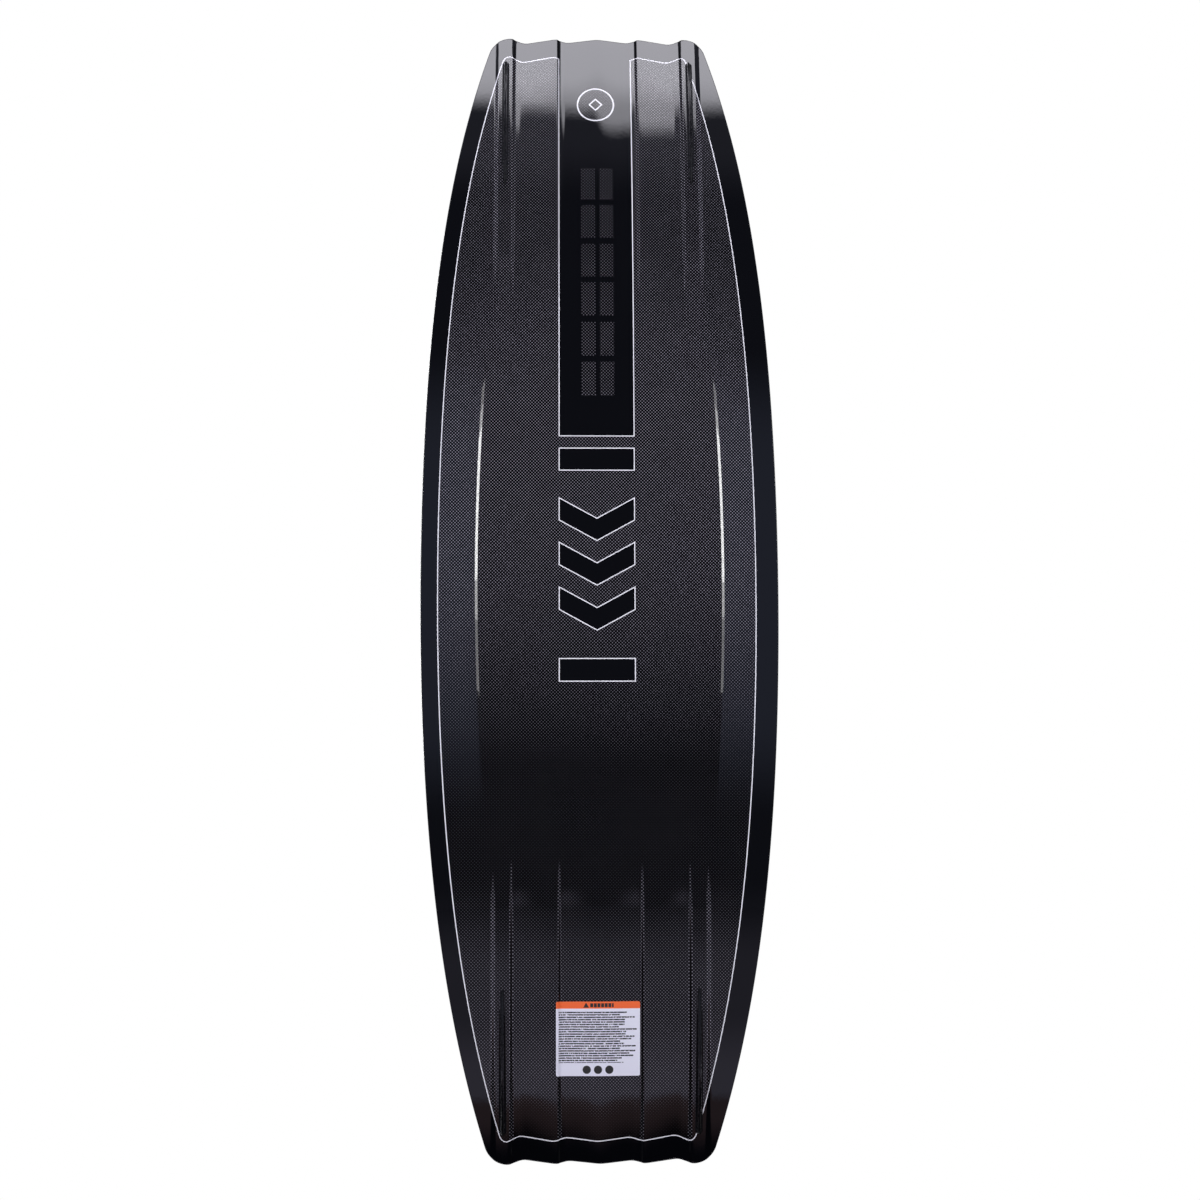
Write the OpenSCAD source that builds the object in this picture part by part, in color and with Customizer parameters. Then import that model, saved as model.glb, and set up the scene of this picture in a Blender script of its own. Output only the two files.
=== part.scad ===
// Twin-tip water sports board: a foam core with stringers and insert blocks, laminated between
// two plies and two outer sheets, with rails, moulded-in fins and threaded binding inserts.
// +X runs to the tip, +Y to the left of a rider facing the tip, +Z up through the deck.
// The origin is the lowest point of the base, at mid-length. Tip and tail are the same shape.

/* [Outline] */
// Length from tip to tail
board_l = 1440; // [1400:5:1480]
// Width at mid-length
board_w = 445; // [436:1:460]
// Half-width that the sides lose from mid-length to the ends
side_drop = 87.8; // [82:0.2:92]
// Share of that loss that is parabolic, the rest rising with the fourth power
side_fullness = 0.67; // [0.5:0.01:0.8]
// Radius of the four corners
corner_r = 30; // [26:1:34]

/* [Rocker] */
// Height of the base at its ends above its flat middle
rocker_h = 60; // [50:1:70]
// Length of the flat middle of the base
flat_l = 330; // [270:10:340]
// How late the rocker turns up: 2 is an even curve, more is a later kick
rocker_power = 2.6; // [2.2:0.1:3]

/* [Section] */
// Thickness at mid-length
mid_t = 22; // [20.5:0.5:24]
// Thickness near the ends, before the roll-off
end_t = 11; // [10.5:0.5:13]
// Thickness lost over the last part of each end
end_roll = 3; // [1:0.5:3]
// Length of that roll-off
end_roll_l = 55; // [40:5:70]
// Height of the rail's edge at mid-length
rail_mid_t = 10; // [8:0.5:11]
// Height of the rail's edge at the ends
rail_end_t = 7.5; // [7:0.5:8.5]
// Distance from the centreline to the base's crease, at mid-length
crease_mid = 153; // [148:1:158]
// The same distance towards the ends
crease_end = 132; // [130:1:134]
// Distance from mid-length over which the crease draws in
crease_l = 410; // [390:5:430]
// Rise of the base per millimetre outside the crease
bevel_slope = 0.11; // [0.08:0.01:0.13]

/* [Channels] */
// Full relief of the end channels, as a multiple of the profile below
channel_gain = 1; // [0.6:0.1:1.1]
// Where their floors step down, from mid-length
channel_step = 392; // [384:2:400]
// Where they reach full depth
channel_full = 490; // [460:5:530]

/* [Layers] */
// Thickness of the base and deck sheets
sheet_t = 1.2; // [1:0.1:1.4]
// Thickness of the base and deck plies
ply_t = 1; // [0.8:0.1:1.1]
// Width of the rails
rail_w = 12; // [10:1:13]
// Distance from the centreline to the inner face of a stringer
stringer_y = 27; // [20:1:32]
// Thickness of a stringer
stringer_t = 3; // [2:1:5]

/* [Inserts] */
// Distance between the middles of the two insert groups
stance = 584.2; // [570:0.1:585]
// Distance between rows along the board
insert_pitch = 25.4; // [25:0.1:25.4]
// Distance between the two columns across the board
insert_gauge = 152.4; // [150:0.1:155]
// Rows in a group
insert_rows = 6; // [4:2:6]
// Radius of the threaded hole, at the thread's crests
thread_r = 2.5; // [2.4:0.05:2.6]
// Depth of the threaded hole
thread_depth = 8.5; // [7:0.5:9]
// Radius of the insert's body
insert_r = 6; // [5.5:0.1:6.5]
// Radius of the insert's flange
flange_r = 9; // [8:0.5:10]
// Thickness of the flange
flange_t = 1.8; // [1.5:0.1:1.9]
// Height of the insert
insert_h = 10.5; // [10:0.5:10.5]
// How far the flange's face lies below the deck
insert_recess = 0.3; // [0.2:0.1:0.5]
// Gap round an insert, which the resin fills
pocket_gap = 0.1; // [0.05:0.05:0.2]

/* [Insert blocks] */
// Length of a block
block_l = 160; // [155:1:165]
// Width of a block
block_w = 30; // [26:1:32]
// Height of a block's underside above the flat of the base
block_z = 8.4; // [8.2:0.1:8.5]

/* [Fins] */
// Distance from the centreline to a fin
fin_y = 119.5; // [117:0.5:122]
// Where a fin's long nose starts, from mid-length
fin_start = 506; // [500:2:516]
// Where the fin ends
fin_end = 684; // [676:2:688]
// Length of the nose ahead of the root flange
fin_nose = 28; // [22:1:32]
// Greatest depth of the blade below the base
fin_h = 20; // [14:1:24]
// Thickness of the blade where it leaves the flange
fin_t = 5; // [4:0.2:6]
// Width of the root flange
fin_flange_w = 9; // [8:0.5:11]
// Thickness of the root flange
fin_flange_t = 1.2; // [0.8:0.1:1.6]

/* [Label] */
// Length of the care label along the board
label_l = 90; // [80:1:100]
// Width of the care label
label_w = 102; // [97:1:103]
// Distance from mid-length to the label's middle, towards the tail
label_x = 567; // [550:1:580]
// Thickness of the label
label_t = 0.25; // [0.2:0.05:0.4]

/* [Hidden] */
$fn = 48;

half_l = board_l / 2;
flat_half = flat_l / 2;
skin_t = sheet_t + ply_t;
// Adhesive under the label
label_gap = 0.05;

// How late each curve bends: the crease's draw-in, the taper in thickness, its roll-off at the
// ends and the deck's fall to the rails
crease_power = 1.2;
taper_power = 1.8;
roll_power = 1.6;
dome_power = 1.5;

// The end channels across the board: [distance from the centreline, how far the base stands out].
// A steep wall faces the centreline at each step, and the fins stand on the outermost rib.
channel_profile = [
    [0, 1], [47.8, -1.2], [51.8, 2.5], [106, -1.2], [110, 2.5], [127, 2.5], [134, 0]
];
// How far the end of the board is set back behind its corners, across the board
setback_profile = [[0, 0], [30, 2.6], [47.8, 2.2], [51.8, 0.7], [106, 4.4], [110, 0]];
setback_start = 620;

// Fixed lines of the surface mesh across the board, which the crease and rail lines follow
inner_lines = [
    0, stringer_y, stringer_y + stringer_t, for (i = [1:5]) channel_profile[i][0]
];
// Least room that each line keeps inside the outline, so that they close up round the corners
line_room = [28, 26, 24, 22, 20, 14, 11, 8, 6, 4, 2, 0];
// Least distance between the crease and the rail line, where the outline draws in to the crease
least_bevel = 4;
crease_line = len(inner_lines);
rail_line = crease_line + 2;
edge_line = crease_line + 3;
stringer_line = 1;

// Length over which the channels' floors step down
step_l = 10;
// Shares of the full relief gained before that step, along it and after it
run_in_share = 0.4;
step_share = 0.45;
run_out_share = 1 - run_in_share - step_share;
// A station that passes between two rows of inserts, counted from the middle of the group
function between_rows(i) = stance / 2 + i * insert_pitch;

function smooth(x, from, to) =
    let (t = min(max((x - from) / (to - from), 0), 1)) t * t * (3 - 2 * t);

// Outline: a smooth side, then an arc that meets it and the straight end.
function side_w(x) =
    let (u = x / half_l)
    board_w / 2 - side_drop * (side_fullness * u^2 + (1 - side_fullness) * u^4);
corner_x = half_l - corner_r;
corner_slope = atan(side_drop / half_l * (2 * side_fullness * corner_x / half_l
    + 4 * (1 - side_fullness) * (corner_x / half_l)^3));
corner_from = corner_x + corner_r * sin(corner_slope);
corner_y = side_w(corner_from) - corner_r * cos(corner_slope);
function half_w(x) =
    abs(x) <= corner_from
        ? side_w(abs(x))
        : corner_y + sqrt(max(0, corner_r^2 - (abs(x) - corner_x)^2));

function crease_y(x) =
    crease_end + (crease_mid - crease_end) * max(0, 1 - (x / crease_l)^2)^crease_power;

// Where line k of the mesh lies at x, on the left for a positive k and on the right for a negative one
function nominal_y(x, k) =
    k < crease_line ? inner_lines[k]
    : k == crease_line ? crease_y(x)
    : k == crease_line + 1 ? (crease_y(x) + nominal_y(x, rail_line)) / 2
    : k == rail_line ? max(half_w(x) - rail_w, crease_y(x) + least_bevel)
    : half_w(x);
function line_y(x, k) =
    sign(k) * min(nominal_y(x, abs(k)), half_w(x) - line_room[abs(k)]);

function rocker_z(x) =
    rocker_h * (max(0, abs(x) - flat_half) / (half_l - flat_half))^rocker_power;

function channel_depth(x) =
    channel_gain * (run_in_share * smooth(abs(x), between_rows(1), channel_step)
        + step_share * smooth(abs(x), channel_step, channel_step + step_l)
        + run_out_share * smooth(abs(x), channel_step + step_l, channel_full));

function base_z(x, k) =
    let (y = abs(line_y(x, k)), crease = abs(line_y(x, crease_line)))
    rocker_z(x)
        + bevel_slope * max(0, y - crease)
        - (abs(k) < crease_line
            ? channel_depth(x) * lookup(inner_lines[abs(k)], channel_profile)
            : 0);

function board_t(x) =
    mid_t - (mid_t - end_t) * (abs(x) / half_l)^taper_power
        - end_roll * max(0, (abs(x) - half_l + end_roll_l) / end_roll_l)^roll_power;
function rail_t(x) = rail_mid_t + (rail_end_t - rail_mid_t) * (abs(x) / half_l)^2;

function deck_z(x, k) =
    let (y = abs(line_y(x, k)),
         crease = abs(line_y(x, crease_line)),
         top = rocker_z(x) + board_t(x),
         edge = base_z(x, edge_line) + rail_t(x),
         fall = max(0, y - crease) / (half_w(x) - crease))
    top + (edge - top) * fall^dome_power;

function setback(x, k) =
    abs(k) < crease_line
        ? smooth(abs(x), setback_start, half_l) * lookup(inner_lines[abs(k)], setback_profile)
        : 0;

// Stations of the surface mesh along one half of the board, closest together where it bends most
corner_steps = [0, 0.3, 0.55, 0.8, 1];
end_stations = [450, 505, 560, 610, 650, 680];
half_stations = concat(
    [flat_half, (flat_half + between_rows(-2)) / 2, between_rows(-2), between_rows(0)],
    [between_rows(1), between_rows(2), channel_step, channel_step + step_l],
    end_stations,
    [for (s = corner_steps) corner_x + corner_r * sin(corner_slope + s * (90 - corner_slope))]
);
stations = concat(
    [for (i = [len(half_stations) - 1:-1:0]) -half_stations[i]], [0], half_stations
);

// A rectangle of four corners as two triangles
function two(a, b, c, d) = [[a, b, c], [a, c, d]];

// Faces of a closed block of m stations by n lines, whose upper points come before its lower ones
function block_faces(m, n) =
    let (at = function(i, j, level) (level * m + i) * n + j)
    [
        for (i = [0:m - 2], j = [0:n - 2], t = concat(
            two(at(i, j, 1), at(i, j + 1, 1), at(i + 1, j + 1, 1), at(i + 1, j, 1)),
            two(at(i, j, 0), at(i + 1, j, 0), at(i + 1, j + 1, 0), at(i, j + 1, 0))
        )) t,
        for (i = [0:m - 2], t = concat(
            two(at(i, 0, 0), at(i, 0, 1), at(i + 1, 0, 1), at(i + 1, 0, 0)),
            two(at(i + 1, n - 1, 0), at(i + 1, n - 1, 1), at(i, n - 1, 1), at(i, n - 1, 0))
        )) t,
        for (j = [0:n - 2], t = concat(
            two(at(0, j + 1, 0), at(0, j + 1, 1), at(0, j, 1), at(0, j, 0)),
            two(at(m - 1, j, 0), at(m - 1, j, 1), at(m - 1, j + 1, 1), at(m - 1, j + 1, 0))
        )) t
    ];

// A closed sheet or block between two height functions of (x, k), from one mesh line to another.
// Half a turn about Z maps the whole mesh onto itself, so turned pieces match their neighbours.
module loft(first, last, low, high, x_from = -half_l, x_to = half_l) {
    xs = [for (x = stations) if (x > x_from - 0.001 && x < x_to + 0.001) x];
    place = function(x, k, z) [x - sign(x) * setback(x, k), line_y(x, k), z];
    polyhedron(
        points = [
            for (height = [low, high], x = xs, k = [first:last]) place(x, k, height(x, k))
        ],
        faces = block_faces(len(xs), last - first + 1),
        convexity = 8
    );
}

// Heights of the layers' shared surfaces
base_outer = function(x, k) base_z(x, k);
base_inner = function(x, k) base_z(x, k) + sheet_t;
core_under = function(x, k) base_z(x, k) + skin_t;
core_over = function(x, k) deck_z(x, k) - skin_t;
deck_inner = function(x, k) deck_z(x, k) - sheet_t;
deck_outer = function(x, k) deck_z(x, k);

// Inserts: where they stand, and the pocket that each needs
function insert_xs(end) = [
    for (i = [0:insert_rows - 1])
        end * stance / 2 + (i - (insert_rows - 1) / 2) * insert_pitch
];
function insert_top(x) = rocker_z(x) + board_t(x) - insert_recess;

module each_insert(end, sides = [-1, 1]) {
    for (x = insert_xs(end), side = sides)
        translate([x, side * insert_gauge / 2, insert_top(x)])
            children();
}

// Resin under an insert's flange, the depth of the grooves round its body, and how far a
// cutting shape runs past the surface that it opens
flange_gap = 0.35;
groove_depth = 0.5;
cut_past = 3;

module insert_pocket() {
    translate([0, 0, -flange_t - flange_gap])
        cylinder(r = flange_r + pocket_gap, h = flange_t + flange_gap + cut_past);
    translate([0, 0, -insert_h - pocket_gap])
        cylinder(r = insert_r + pocket_gap, h = insert_h);
}

module insert() {
    ring = insert_h / 6;
    difference() {
        union() {
            translate([0, 0, -flange_t])
                cylinder(r = flange_r, h = flange_t);
            translate([0, 0, -insert_h])
                cylinder(r = insert_r - groove_depth, h = insert_h);
            for (i = [0:2])
                translate([0, 0, -insert_h + ring * (0.4 + 1.6 * i)])
                    cylinder(r = insert_r, h = ring);
        }
        translate([0, 0, -thread_depth])
            cylinder(r = thread_r, h = thread_depth + cut_past);
    }
}

// Sheets and plies
module base_sheet()
    color([0.03, 0.03, 0.04])
        loft(-edge_line, edge_line, base_outer, base_inner);

module base_ply()
    color([0.16, 0.16, 0.17])
        loft(-edge_line, edge_line, base_inner, core_under);

module deck_layer(low, high)
    difference() {
        loft(-edge_line, edge_line, low, high);
        for (end = [-1, 1])
            each_insert(end)
                translate([0, 0, -skin_t - cut_past])
                    cylinder(r = flange_r + pocket_gap, h = skin_t + 2 * cut_past);
    }

module deck_ply()
    color([0.75, 0.78, 0.7])
        deck_layer(core_over, deck_inner);

module deck_sheet()
    color([0.04, 0.04, 0.05])
        deck_layer(deck_inner, deck_outer);

// Core, stringers, rails and end spacers, which fill the space between the plies
core_end = corner_from;

module core_part(first, last)
    loft(first, last, core_under, core_over, -core_end, core_end);

module core_blank(x_from = -core_end, x_to = core_end)
    loft(-rail_line, -stringer_line - 1, core_under, core_over, x_from, x_to);

module block_space(end)
    translate([end * stance / 2 - block_l / 2, -insert_gauge / 2 - block_w / 2, block_z])
        cube([block_l, block_w, mid_t + rocker_h]);

// Right-hand pieces make their left-hand fellows by half a turn, and tip pieces the tail's
module turned(side)
    rotate([0, 0, side < 0 ? 180 : 0])
        children();

module core_side(side)
    color([0.92, 0.9, 0.8])
        turned(side)
            difference() {
                core_blank();
                block_space(1);
                block_space(-1);
            }

module core_center()
    color([0.92, 0.9, 0.8])
        core_part(-stringer_line, stringer_line);

module stringer(side)
    color([0.12, 0.12, 0.12])
        turned(side)
            core_part(-stringer_line - 1, -stringer_line);

module rail(side)
    color([0.08, 0.08, 0.09])
        turned(side)
            core_part(-edge_line, -rail_line);

module spacer(end)
    color([0.08, 0.08, 0.09])
        turned(end)
            loft(-edge_line, edge_line, core_under, core_over, core_end, half_l);

// The part of the core that a block replaces, cut from the stations on either side of it
module insert_block(end, side)
    color([0.55, 0.42, 0.27])
        mirror([0, end == side ? 1 : 0, 0])
            turned(end)
                difference() {
                    intersection() {
                        core_blank(flat_half, channel_full);
                        block_space(1);
                    }
                    each_insert(1, [-1]) insert_pocket();
                }

module insert_group(end)
    color([0.78, 0.78, 0.76])
        each_insert(end) insert();

// Fins: a blade on a root flange, lofted along the rib that carries it
fin_stations = [
    for (x = concat(
        [fin_start, fin_start + fin_nose / 2, fin_start + fin_nose - 1, fin_start + fin_nose],
        [for (s = [0.1:0.1:0.9]) fin_start + fin_nose + s * (fin_end - fin_start - fin_nose)],
        [fin_end]
    )) x
];
rib_profile = [for (x = stations) if (x >= 0) [x, base_z(x, crease_line - 1)]];
function rib_z(x) = lookup(x, rib_profile);
// Depth of the blade: a low nose, then a long rise to its deepest part and a short fall
function blade_h(x) =
    let (s = (x - fin_start) / (fin_end - fin_start))
    1 + (fin_h - 1) * sin(180 * s^1.5)^0.8;
function flange_half(x) =
    x < fin_start + fin_nose - 0.5 ? fin_t / 2 : fin_flange_w / 2;
// One section of a fin: half-widths and depths from the root down the blade to its edge
function fin_section(x) = [
    [flange_half(x), 0], [flange_half(x) - 0.2, fin_flange_t],
    [fin_t / 2 - 0.25, fin_flange_t + 0.3], [fin_t / 5, fin_flange_t + blade_h(x)]
];

module fin() {
    sections = [
        for (x = fin_stations)
            let (half = fin_section(x))
            concat(
                [for (p = half) [x, p[0], rib_z(x) - p[1]]],
                [for (i = [len(half) - 1:-1:0]) [x, -half[i][0], rib_z(x) - half[i][1]]]
            )
    ];
    n = len(sections[0]);
    m = len(sections);
    polyhedron(
        points = [for (s = sections, p = s) p],
        faces = [
            for (i = [0:m - 2], j = [0:n - 1], t = [
                [i * n + j, i * n + (j + 1) % n, (i + 1) * n + (j + 1) % n],
                [i * n + j, (i + 1) * n + (j + 1) % n, (i + 1) * n + j]
            ]) t,
            for (j = [0:n / 2 - 2]) for (t = [
                [j, n - 1 - j, j + 1], [j + 1, n - 1 - j, n - 2 - j]
            ]) t,
            for (j = [0:n / 2 - 2]) for (t = [
                [j, j + 1, n - 1 - j], [j + 1, n - 2 - j, n - 1 - j]
            ]) [for (v = t) (m - 1) * n + v]
        ],
        convexity = 4
    );
}

module place_fin(end, side)
    color([0.03, 0.03, 0.04])
        mirror([0, end == side ? 1 : 0, 0])
            turned(end)
                translate([0, -fin_y, 0])
                    fin();

// A sticker that follows the base between the first channel walls
module care_label() {
    wall_foot = channel_profile[1][0];
    columns = [0, wall_foot / 3, wall_foot * 2 / 3, wall_foot, label_w / 2];
    across = [for (k = [-4:4]) sign(k) * columns[abs(k)]];
    along = [for (i = [-4:4]) -label_x + i * label_l / 8];
    under = function(x, y)
        rocker_z(x) - channel_depth(x) * lookup(abs(y), channel_profile) - label_gap;
    color([0.9, 0.9, 0.92])
        polyhedron(
            points = [
                for (drop = [label_t, 0], x = along, y = across) [x, y, under(x, y) - drop]
            ],
            faces = block_faces(len(along), len(across)),
            convexity = 4
        );
}

base_sheet();
base_ply();
core_center();
core_side(-1);  // core_left
core_side(1);  // core_right
stringer(-1);  // stringer_left
stringer(1);  // stringer_right
rail(-1);  // rail_left
rail(1);  // rail_right
spacer(1);  // tip_spacer
spacer(-1);  // tail_spacer
insert_block(1, 1);  // insert_block_front_left
insert_block(1, -1);  // insert_block_front_right
insert_block(-1, 1);  // insert_block_rear_left
insert_block(-1, -1);  // insert_block_rear_right
insert_group(1);  // front_inserts
insert_group(-1);  // rear_inserts
deck_ply();
deck_sheet();
place_fin(1, 1);  // fin_front_left
place_fin(1, -1);  // fin_front_right
place_fin(-1, 1);  // fin_rear_left
place_fin(-1, -1);  // fin_rear_right
care_label();
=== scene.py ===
"""Visual model of a bare twin-tip board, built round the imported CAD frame.

Shapes are worked out in millimetres and written to meshes in metres. +X is towards the tip,
+Y to the left of a rider facing the tip, and +Z is up through the deck.
"""

import math

import bpy
import numpy as np
from mathutils import Matrix, Vector


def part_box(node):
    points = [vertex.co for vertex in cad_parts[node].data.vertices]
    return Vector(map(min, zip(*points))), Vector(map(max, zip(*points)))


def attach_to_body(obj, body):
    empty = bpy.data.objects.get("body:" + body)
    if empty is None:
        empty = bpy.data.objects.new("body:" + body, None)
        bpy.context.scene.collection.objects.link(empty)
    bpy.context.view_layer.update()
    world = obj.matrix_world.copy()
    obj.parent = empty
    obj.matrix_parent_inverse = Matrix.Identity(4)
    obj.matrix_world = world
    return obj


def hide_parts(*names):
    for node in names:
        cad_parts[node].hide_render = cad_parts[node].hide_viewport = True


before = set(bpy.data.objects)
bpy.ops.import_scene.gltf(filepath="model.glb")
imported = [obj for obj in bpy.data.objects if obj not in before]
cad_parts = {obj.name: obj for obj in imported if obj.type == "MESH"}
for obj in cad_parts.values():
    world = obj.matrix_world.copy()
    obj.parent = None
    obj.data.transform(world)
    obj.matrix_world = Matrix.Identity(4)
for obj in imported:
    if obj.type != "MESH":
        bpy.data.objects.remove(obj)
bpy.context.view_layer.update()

METRES = 0.001
MM_PER_METRE = 1000.0

# ---------- sizes of the board, in mm
base_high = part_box("base_sheet")[1]
HALF_L = base_high.x / METRES
HALF_W = base_high.y / METRES
# Half-width lost by the sides, and its parabolic share
SIDE_DROP = 87.8
SIDE_FULLNESS = 0.67
CORNER_R = 30.0
# Rise of the ends, half the length of the flat middle, and how late the rise comes
ROCKER_H = 60.0
FLAT_HALF = 165.0
ROCKER_POWER = 2.6
# Thickness at mid-length and at the ends, and the roll-off at the very ends
MID_T, END_T, TAPER_POWER = 22.0, 11.0, 1.8
END_ROLL, END_ROLL_L, ROLL_POWER = 3.0, 55.0, 1.6
RAIL_MID_T, RAIL_END_T = 10.0, 7.5
DOME_POWER = 1.5
# The crease: its distance from the centreline, where it has drawn in, and the bevel outside it
CREASE_MID, CREASE_END, CREASE_L, CREASE_POWER = 153.0, 132.0, 410.0, 1.2
BEVEL_SLOPE = 0.11
CREASE_SOFTNESS = 1.6
LEAST_RAIL_W = 6.0
# The end channels start, step down and reach full depth at these distances from mid-length
CHANNEL_START, CHANNEL_STEP, CHANNEL_FULL = 317.5, 392.0, 490.0
STEP_L, STEP_BLEND = 10.0, 8.0
RUN_IN_SHARE, STEP_SHARE, RUN_OUT_SHARE = 0.4, 0.45, 0.15
SETBACK_START = 620.0
# Across the board: (distance from the centreline, how far the base stands out)
CHANNEL_KNOTS = [
    (0, 1),
    (6, 0.9),
    (12, 0.6),
    (30, -0.8),
    (43, -1.5),
    (49.3, -0.7),
    (51.9, 2.5),
    (100, -1.5),
    (107.6, -0.7),
    (110.2, 2.5),
    (128.5, 2.5),
    (133, 0),
]
# Across the board: (distance from the centreline, how far the end is set back)
SETBACK_KNOTS = [(0, 0), (39, 3.8), (53.5, 0.3), (95, 5.6), (111, 0)]
CHANNEL_BLUR, SETBACK_BLUR = 0.9, 3.0
TABLE_FROM, TABLE_TO, TABLE_STEP = -30, 260, 0.25


def smooth(x, start, end):
    t = np.clip((x - start) / (end - start), 0, 1)
    return t * t * (3 - 2 * t)


def rounded(knots, blur):
    """The knots' broken line as a dense table, its corners rounded over about blur mm."""
    y = np.arange(TABLE_FROM, TABLE_TO, TABLE_STEP)
    line = np.interp(np.abs(y), [k[0] for k in knots], [k[1] for k in knots])
    reach = np.arange(-4 * blur, 4 * blur + TABLE_STEP / 2, TABLE_STEP)
    kernel = np.exp(-0.5 * (reach / blur) ** 2)
    return y, np.convolve(line, kernel / kernel.sum(), mode="same")


CHANNEL_TABLE = rounded(CHANNEL_KNOTS, CHANNEL_BLUR)
SETBACK_TABLE = rounded(SETBACK_KNOTS, SETBACK_BLUR)


def side_w(x):
    """Half the width between the corners, with x from mid-length."""
    u = np.abs(x) / HALF_L
    return HALF_W - SIDE_DROP * (SIDE_FULLNESS * u**2 + (1 - SIDE_FULLNESS) * u**4)


def side_slope(x):
    u = np.abs(x) / HALF_L
    return SIDE_DROP / HALF_L * (2 * SIDE_FULLNESS * u + 4 * (1 - SIDE_FULLNESS) * u**3)


CORNER_X = HALF_L - CORNER_R
CORNER_ANGLE = math.atan(side_slope(CORNER_X))
CORNER_FROM = CORNER_X + CORNER_R * math.sin(CORNER_ANGLE)
CORNER_Y = side_w(CORNER_FROM) - CORNER_R * math.cos(CORNER_ANGLE)


def half_w(x):
    """Half the width, rounded at the corners."""
    x = np.abs(x)
    arc = CORNER_Y + np.sqrt(np.maximum(0, CORNER_R**2 - np.maximum(0, x - CORNER_X) ** 2))
    return np.where(x <= CORNER_FROM, side_w(x), arc)


def crease_y(x):
    swell = np.maximum(0, 1 - (x / CREASE_L) ** 2) ** CREASE_POWER
    return CREASE_END + (CREASE_MID - CREASE_END) * swell


def rocker_z(x):
    rise = np.maximum(0, np.abs(x) - FLAT_HALF) / (HALF_L - FLAT_HALF)
    return ROCKER_H * rise**ROCKER_POWER


def channel_depth(x):
    """Share of the channels' full relief at x."""
    x = np.abs(x)
    step_end = CHANNEL_STEP + STEP_L
    return (
        RUN_IN_SHARE * smooth(x, CHANNEL_START, CHANNEL_STEP)
        + STEP_SHARE * smooth(x, CHANNEL_STEP - STEP_BLEND, step_end + STEP_BLEND)
        + RUN_OUT_SHARE * smooth(x, step_end, CHANNEL_FULL)
    )


def base_z(x, y):
    past = np.abs(y) - crease_y(x)
    bevel = BEVEL_SLOPE * (past + np.sqrt(past**2 + CREASE_SOFTNESS**2)) / 2
    relief = channel_depth(x) * np.interp(np.abs(y), *CHANNEL_TABLE)
    return rocker_z(x) + bevel - relief


def board_t(x):
    u = np.abs(x) / HALF_L
    roll = np.maximum(0, (np.abs(x) - HALF_L + END_ROLL_L) / END_ROLL_L)
    return MID_T - (MID_T - END_T) * u**TAPER_POWER - END_ROLL * roll**ROLL_POWER


def deck_z(x, y):
    w = half_w(x)
    crease = np.minimum(crease_y(x), w - LEAST_RAIL_W)
    top = rocker_z(x) + board_t(x)
    rail_t = RAIL_MID_T + (RAIL_END_T - RAIL_MID_T) * (np.abs(x) / HALF_L) ** 2
    edge = base_z(x, w) + rail_t
    fall = np.clip((np.abs(y) - crease) / (w - crease), 0, 1)
    return top + (edge - top) * fall**DOME_POWER


# ---------- the shared grid, in mm
STATION_STEP, STEP_STATION_STEP, END_STATION_STEP = 4, 1, 3.2
STEP_MARGIN = 3
CORNER_STATIONS = 16
# From, to and spacing of the fixed lines, closest together at the channels' walls
LINE_SPANS = [
    (0, 40, 2.5),
    (40, 48, 1),
    (48, 53.5, 0.5),
    (53.5, 98, 3.1),
    (98, 106, 1.3),
    (106, 111.5, 0.5),
    (111.5, 125, 2.2),
]
# Lines that follow the crease, at these distances from it
CREASE_OFFSETS = np.array([-4, -2.6, -1.6, -0.8, 0, 0.8, 1.6, 2.6, 4])
# Shares of the way from the last fixed line to the crease, and from there to the outline
GAP_STEPS = np.array([0.2, 0.4, 0.6, 0.8])
OUTER_STEPS = np.linspace(0, 1, 15)[1:]
SQUEEZE_FROM = 98.0
LEAST_BEVEL = 12.0


def span(start, end, step):
    return np.linspace(start, end, max(2, int(round((end - start) / step)) + 1))


def half_stations():
    """Stations along half the board, with the outline's normal angle at each."""
    before, after = CHANNEL_STEP - STEP_MARGIN, CHANNEL_STEP + STEP_L + STEP_MARGIN
    parts = [
        span(0, before, STATION_STEP),
        span(before, after, STEP_STATION_STEP),
        span(after, CORNER_FROM, END_STATION_STEP),
    ]
    x = np.unique(np.round(np.concatenate(parts), 4))
    angle = np.arctan(side_slope(x))
    bend = np.linspace(CORNER_ANGLE, math.pi / 2, CORNER_STATIONS)[1:]
    x = np.concatenate([x, CORNER_X + CORNER_R * np.sin(bend)])
    return x, np.concatenate([angle, bend])


STATION_X, STATION_ANGLE = half_stations()
INNER_Y = np.unique(np.round(np.concatenate([span(*line) for line in LINE_SPANS]), 4))


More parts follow.
